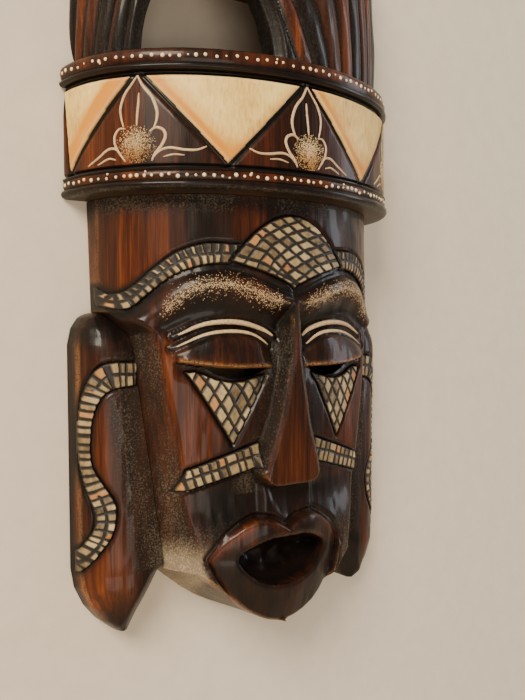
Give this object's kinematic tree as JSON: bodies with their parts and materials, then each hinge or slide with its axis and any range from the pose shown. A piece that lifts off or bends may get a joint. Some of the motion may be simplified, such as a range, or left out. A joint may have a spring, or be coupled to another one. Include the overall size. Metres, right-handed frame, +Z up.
{
  "type": "carved wooden wall mask",
  "caption": "Long carved wooden wall mask: half-log face with wedge nose, slit eyes, open mouth and ear flaps, banded headdress and fluted openwork crest, hollow at the back.",
  "frame": {"origin": "hanging point on the wall plane, at the middle of the sawtooth hanger behind the crest", "axes": "+X to the right seen from the front, the face looks along -Y, +Y points into the wall, +Z up"},
  "size_m": [0.1632, 0.061, 0.3385],
  "materials": {
    "dark_wood": "stained and lacquered reddish brown to near black, satin",
    "band_wood": "stained dark reddish brown, satin lacquer",
    "ring_wood": "stained near-black brown with worn glossy edges",
    "crest_wood": "stained, with orange-brown worn ribs, satin lacquer",
    "cream_inlay": "pale scraped wood with scorched edges, matt lacquer",
    "pale_tesserae": "pale scored tiles with dark grooves",
    "zinc_steel": "zinc plated"
  },
  "bodies": {
    "root": {"face_shell": "dark_wood", "ear_flap_left": "dark_wood", "ear_flap_right": "dark_wood", "headdress_band": "band_wood", "upper_bead_ring": "ring_wood", "lower_bead_ring": "ring_wood", "fluted_crest": "crest_wood", "forehead_lens": "pale_tesserae", "brow_band_left": "pale_tesserae", "brow_band_right": "pale_tesserae", "eye_triangle_left": "pale_tesserae", "eye_triangle_right": "pale_tesserae", "cheek_strip_left": "pale_tesserae", "cheek_strip_right": "pale_tesserae", "ear_band_left": "pale_tesserae", "ear_band_right": "pale_tesserae", "band_triangle_1": "cream_inlay", "band_triangle_2": "cream_inlay", "band_triangle_3": "cream_inlay", "band_triangle_4": "cream_inlay", "sawtooth_hanger": "zinc_steel", "hanger_nail_left": "zinc_steel", "hanger_nail_right": "zinc_steel"}
  },
  "joints": []
}
